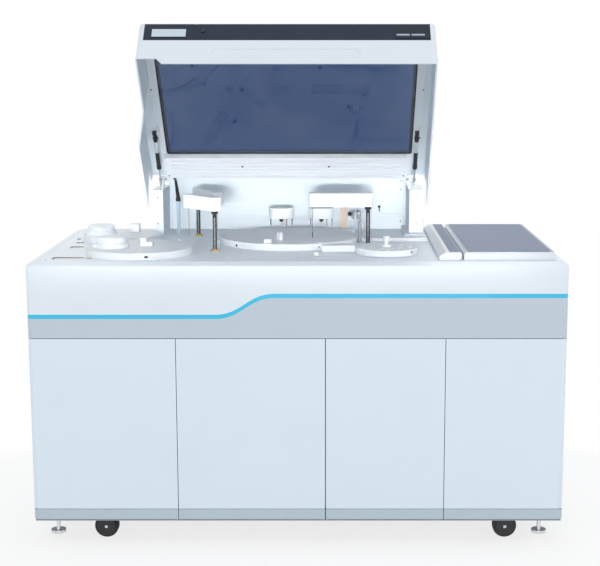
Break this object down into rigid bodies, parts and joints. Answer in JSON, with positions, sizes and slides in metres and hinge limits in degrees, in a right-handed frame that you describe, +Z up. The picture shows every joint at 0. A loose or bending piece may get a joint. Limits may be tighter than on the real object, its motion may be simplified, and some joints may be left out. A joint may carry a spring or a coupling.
{
  "type": "floor-standing chemistry analyser",
  "caption": "Floor-standing laboratory analyser: doored cabinet, reagent, reaction and sample discs, probe arms and mixers under a tinted lid on gas struts.",
  "frame": {"origin": "on the floor under the middle of the cabinet", "axes": "+X to the user's right, +Y from the doors to the back, +Z up"},
  "size_m": [1.63, 0.85, 1.5987],
  "materials": {
    "aluminium": "satin",
    "black_gloss": "gloss",
    "black_plastic": "satin",
    "brass": "satin",
    "cyan_stripe": "gloss",
    "door_paint": "satin",
    "grey_band": "satin",
    "light_blue_plastic": "satin",
    "rubber": "matte",
    "steel": "brushed",
    "tank_plastic": "translucent",
    "tinted_glass": "tinted",
    "white_paint": "satin",
    "white_plastic": "satin",
    "zinc_paint": "satin"
  },
  "bodies": {
    "root": {"base_frame": "zinc_paint", "cabinet_panels": "white_paint", "upper_housing": "white_paint", "front_band": "grey_band", "accent_stripe": "cyan_stripe", "deck_plate": "white_paint", "disc_tubs": "white_plastic", "fixed_reagent_covers": "white_plastic", "code_readers": "white_plastic", "reaction_cover": "white_plastic", "arm_guide_bushes": "brass", "deck_fittings": "white_plastic", "wash_station": "white_plastic", "console_frame": "zinc_paint", "lid_posts": "white_paint", "rear_tower": "white_paint", "lid_conduit": "light_blue_plastic", "pivot_pins": "steel", "bay_equipment": "tank_plastic", "caster_mounts": "steel"},
    "lid": {"lid_shell": "white_paint", "lid_fascia": "black_gloss", "lid_window": "tinted_glass", "window_gasket": "rubber", "side_rails": "aluminium", "rear_rail": "aluminium"},
    "left_strut_rod": {"left_strut_rod": "steel"},
    "left_strut_tube": {"left_strut_tube": "black_plastic"},
    "right_strut_rod": {"right_strut_rod": "steel"},
    "right_strut_tube": {"right_strut_tube": "black_plastic"},
    "door_1": {"door_1": "door_paint"},
    "door_2": {"door_2": "door_paint"},
    "door_3": {"door_3": "door_paint"},
    "door_4": {"door_4": "door_paint"},
    "console_small_cover": {"console_small_cover": "white_plastic"},
    "console_main_cover": {"console_main_cover": "white_plastic"},
    "front_reagent_arm_lift": {"front_reagent_arm_shaft": "black_plastic"},
    "front_reagent_arm": {"front_reagent_arm": "white_plastic"},
    "rear_reagent_arm_lift": {"rear_reagent_arm_shaft": "black_plastic"},
    "rear_reagent_arm": {"rear_reagent_arm": "white_plastic"},
    "sample_arm_lift": {"sample_arm_shaft": "black_plastic"},
    "sample_arm": {"sample_arm": "white_plastic"},
    "front_reagent_cover": {"front_reagent_cover": "white_plastic"},
    "rear_reagent_cover": {"rear_reagent_cover": "white_plastic"},
    "sample_disc": {"sample_disc": "white_plastic"},
    "front_reagent_carousel": {"front_reagent_carousel": "white_plastic"},
    "rear_reagent_carousel": {"rear_reagent_carousel": "white_plastic"},
    "reaction_ring": {"reaction_ring": "white_plastic"},
    "left_mixer_head": {"left_mixer_head": "white_plastic"},
    "left_mixer_paddle": {"left_mixer_paddle": "black_plastic"},
    "right_mixer_head": {"right_mixer_head": "white_plastic"},
    "right_mixer_paddle": {"right_mixer_paddle": "black_plastic"},
    "wash_head": {"wash_head": "steel"},
    "power_switch": {"power_switch": "black_plastic"},
    "left_caster_fork": {"left_caster_fork": "steel"},
    "left_caster_wheel": {"left_caster_wheel": "rubber"},
    "right_caster_fork": {"right_caster_fork": "steel"},
    "right_caster_wheel": {"right_caster_wheel": "rubber"},
    "rear_caster_wheels": {"rear_caster_wheels": "rubber"},
    "levelling_feet": {"levelling_feet": "steel"}
  },
  "joints": [
    {"name": "lid_hinge", "type": "hinge", "parent": "root", "child": "lid", "pos_m": [0, 0.26454, 1.08002], "axis": [1, 0, 0], "range_deg": [0, 48]},
    {"name": "door_1_hinge", "type": "hinge", "parent": "root", "child": "door_1", "pos_m": [-0.805, -0.415, 0.374], "axis": [0, 0, -1], "range_deg": [0, 90]},
    {"name": "door_2_hinge", "type": "hinge", "parent": "root", "child": "door_2", "pos_m": [0.078, -0.42, 0.374], "axis": [0, 0, 1], "range_deg": [0, 90]},
    {"name": "door_3_hinge", "type": "hinge", "parent": "root", "child": "door_3", "pos_m": [0.09, -0.42, 0.374], "axis": [0, 0, -1], "range_deg": [0, 90]},
    {"name": "door_4_hinge", "type": "hinge", "parent": "root", "child": "door_4", "pos_m": [0.805, -0.415, 0.374], "axis": [0, 0, 1], "range_deg": [0, 90]},
    {"name": "console_small_cover_hinge", "type": "hinge", "parent": "root", "child": "console_small_cover", "pos_m": [0.49, -0.0145, 0.8985], "axis": [0, 1, 0], "range_deg": [0, 60]},
    {"name": "console_main_cover_hinge", "type": "hinge", "parent": "root", "child": "console_main_cover", "pos_m": [0.775, -0.0145, 0.8985], "axis": [0, 1, 0], "range_deg": [0, 80]},
    {"name": "front_reagent_arm_swing", "type": "hinge", "parent": "front_reagent_arm_lift", "child": "front_reagent_arm", "pos_m": [-0.267, -0.171, 1], "axis": [0, 0, 1], "range_deg": [-63.8, 31.2]},
    {"name": "rear_reagent_arm_swing", "type": "hinge", "parent": "rear_reagent_arm_lift", "child": "rear_reagent_arm", "pos_m": [-0.355, 0.201, 1], "axis": [0, 0, 1], "range_deg": [-86, 13]},
    {"name": "sample_arm_swing", "type": "hinge", "parent": "sample_arm_lift", "child": "sample_arm", "pos_m": [0.222, -0.039, 1], "axis": [0, 0, 1], "range_deg": [0, 90]},
    {"name": "front_reagent_arm_lift", "type": "slide", "parent": "root", "child": "front_reagent_arm_lift", "axis": [0, 0, 1], "range_m": [-0.06, 0]},
    {"name": "rear_reagent_arm_lift", "type": "slide", "parent": "root", "child": "rear_reagent_arm_lift", "axis": [0, 0, 1], "range_m": [-0.06, 0]},
    {"name": "sample_arm_lift", "type": "slide", "parent": "root", "child": "sample_arm_lift", "axis": [0, 0, 1], "range_m": [-0.045, 0]},
    {"name": "front_reagent_cover_lift", "type": "slide", "parent": "root", "child": "front_reagent_cover", "axis": [0, 0, 1], "range_m": [0, 0.03]},
    {"name": "rear_reagent_cover_lift", "type": "slide", "parent": "root", "child": "rear_reagent_cover", "axis": [0, 0, 1], "range_m": [0, 0.03]},
    {"name": "sample_disc_turn", "type": "hinge", "parent": "root", "child": "sample_disc", "pos_m": [0.275, -0.222, 0.9], "axis": [0, 0, 1], "continuous": true},
    {"name": "front_carousel_turn", "type": "hinge", "parent": "root", "child": "front_reagent_carousel", "pos_m": [-0.501, -0.21, 0.8], "axis": [0, 0, 1], "continuous": true},
    {"name": "rear_carousel_turn", "type": "hinge", "parent": "root", "child": "rear_reagent_carousel", "pos_m": [-0.6, 0.095, 0.8], "axis": [0, 0, 1], "continuous": true},
    {"name": "reaction_ring_turn", "type": "hinge", "parent": "root", "child": "reaction_ring", "pos_m": [-0.038, 0.058, 0.83], "axis": [0, 0, 1], "continuous": true},
    {"name": "left_mixer_lift", "type": "slide", "parent": "root", "child": "left_mixer_head", "axis": [0, 0, 1], "range_m": [0, 0.04]},
    {"name": "right_mixer_lift", "type": "slide", "parent": "root", "child": "right_mixer_head", "axis": [0, 0, 1], "range_m": [0, 0.04]},
    {"name": "left_mixer_spin", "type": "hinge", "parent": "left_mixer_head", "child": "left_mixer_paddle", "pos_m": [-0.071, 0.243, 0.92], "axis": [0, 0, 1], "continuous": true},
    {"name": "right_mixer_spin", "type": "hinge", "parent": "right_mixer_head", "child": "right_mixer_paddle", "pos_m": [0.068, 0.243, 0.92], "axis": [0, 0, 1], "continuous": true},
    {"name": "wash_head_lift", "type": "slide", "parent": "root", "child": "wash_head", "axis": [0, 0, 1], "range_m": [0, 0.03]},
    {"name": "power_switch_rock", "type": "hinge", "parent": "root", "child": "power_switch", "pos_m": [0.66, 0.418, 0.202], "axis": [1, 0, 0], "range_deg": [-8, 8]},
    {"name": "left_caster_swivel", "type": "hinge", "parent": "root", "child": "left_caster_fork", "pos_m": [-0.628, -0.325, 0.078], "axis": [0, 0, 1], "continuous": true},
    {"name": "right_caster_swivel", "type": "hinge", "parent": "root", "child": "right_caster_fork", "pos_m": [0.628, -0.325, 0.078], "axis": [0, 0, 1], "continuous": true},
    {"name": "left_caster_roll", "type": "hinge", "parent": "left_caster_fork", "child": "left_caster_wheel", "pos_m": [-0.607, -0.325, 0.0375], "axis": [0, 1, 0], "continuous": true},
    {"name": "right_caster_roll", "type": "hinge", "parent": "right_caster_fork", "child": "right_caster_wheel", "pos_m": [0.649, -0.325, 0.0375], "axis": [0, 1, 0], "continuous": true},
    {"name": "rear_casters_roll", "type": "hinge", "parent": "root", "child": "rear_caster_wheels", "pos_m": [0, 0.325, 0.0375], "axis": [1, 0, 0], "continuous": true},
    {"name": "feet_screw_down", "type": "slide", "parent": "root", "child": "levelling_feet", "axis": [0, 0, 1], "range_m": [-0.036, 0]},
    {"name": "left_strut_turn", "type": "hinge", "parent": "root", "child": "left_strut_rod", "pos_m": [-0.486, 0.23704, 1.06802], "axis": [1, 0, 0], "range_deg": [0, 51.65]},
    {"name": "left_strut_slide", "type": "slide", "parent": "left_strut_rod", "child": "left_strut_tube", "axis": [0, -0.6213, 0.7836], "range_m": [-0.0202, 0]},
    {"name": "right_strut_turn", "type": "hinge", "parent": "root", "child": "right_strut_rod", "pos_m": [0.388, 0.23704, 1.06802], "axis": [1, 0, 0], "range_deg": [0, 51.65]},
    {"name": "right_strut_slide", "type": "slide", "parent": "right_strut_rod", "child": "right_strut_tube", "axis": [0, -0.6213, 0.7836], "range_m": [-0.0202, 0]}
  ],
  "couplings": [
    {"joint": "left_strut_turn", "follows": "lid_hinge", "ratio": 1.075},
    {"joint": "left_strut_slide", "follows": "lid_hinge", "m_per_rad": -0.024},
    {"joint": "right_strut_turn", "follows": "lid_hinge", "ratio": 1.075},
    {"joint": "right_strut_slide", "follows": "lid_hinge", "m_per_rad": -0.024}
  ]
}
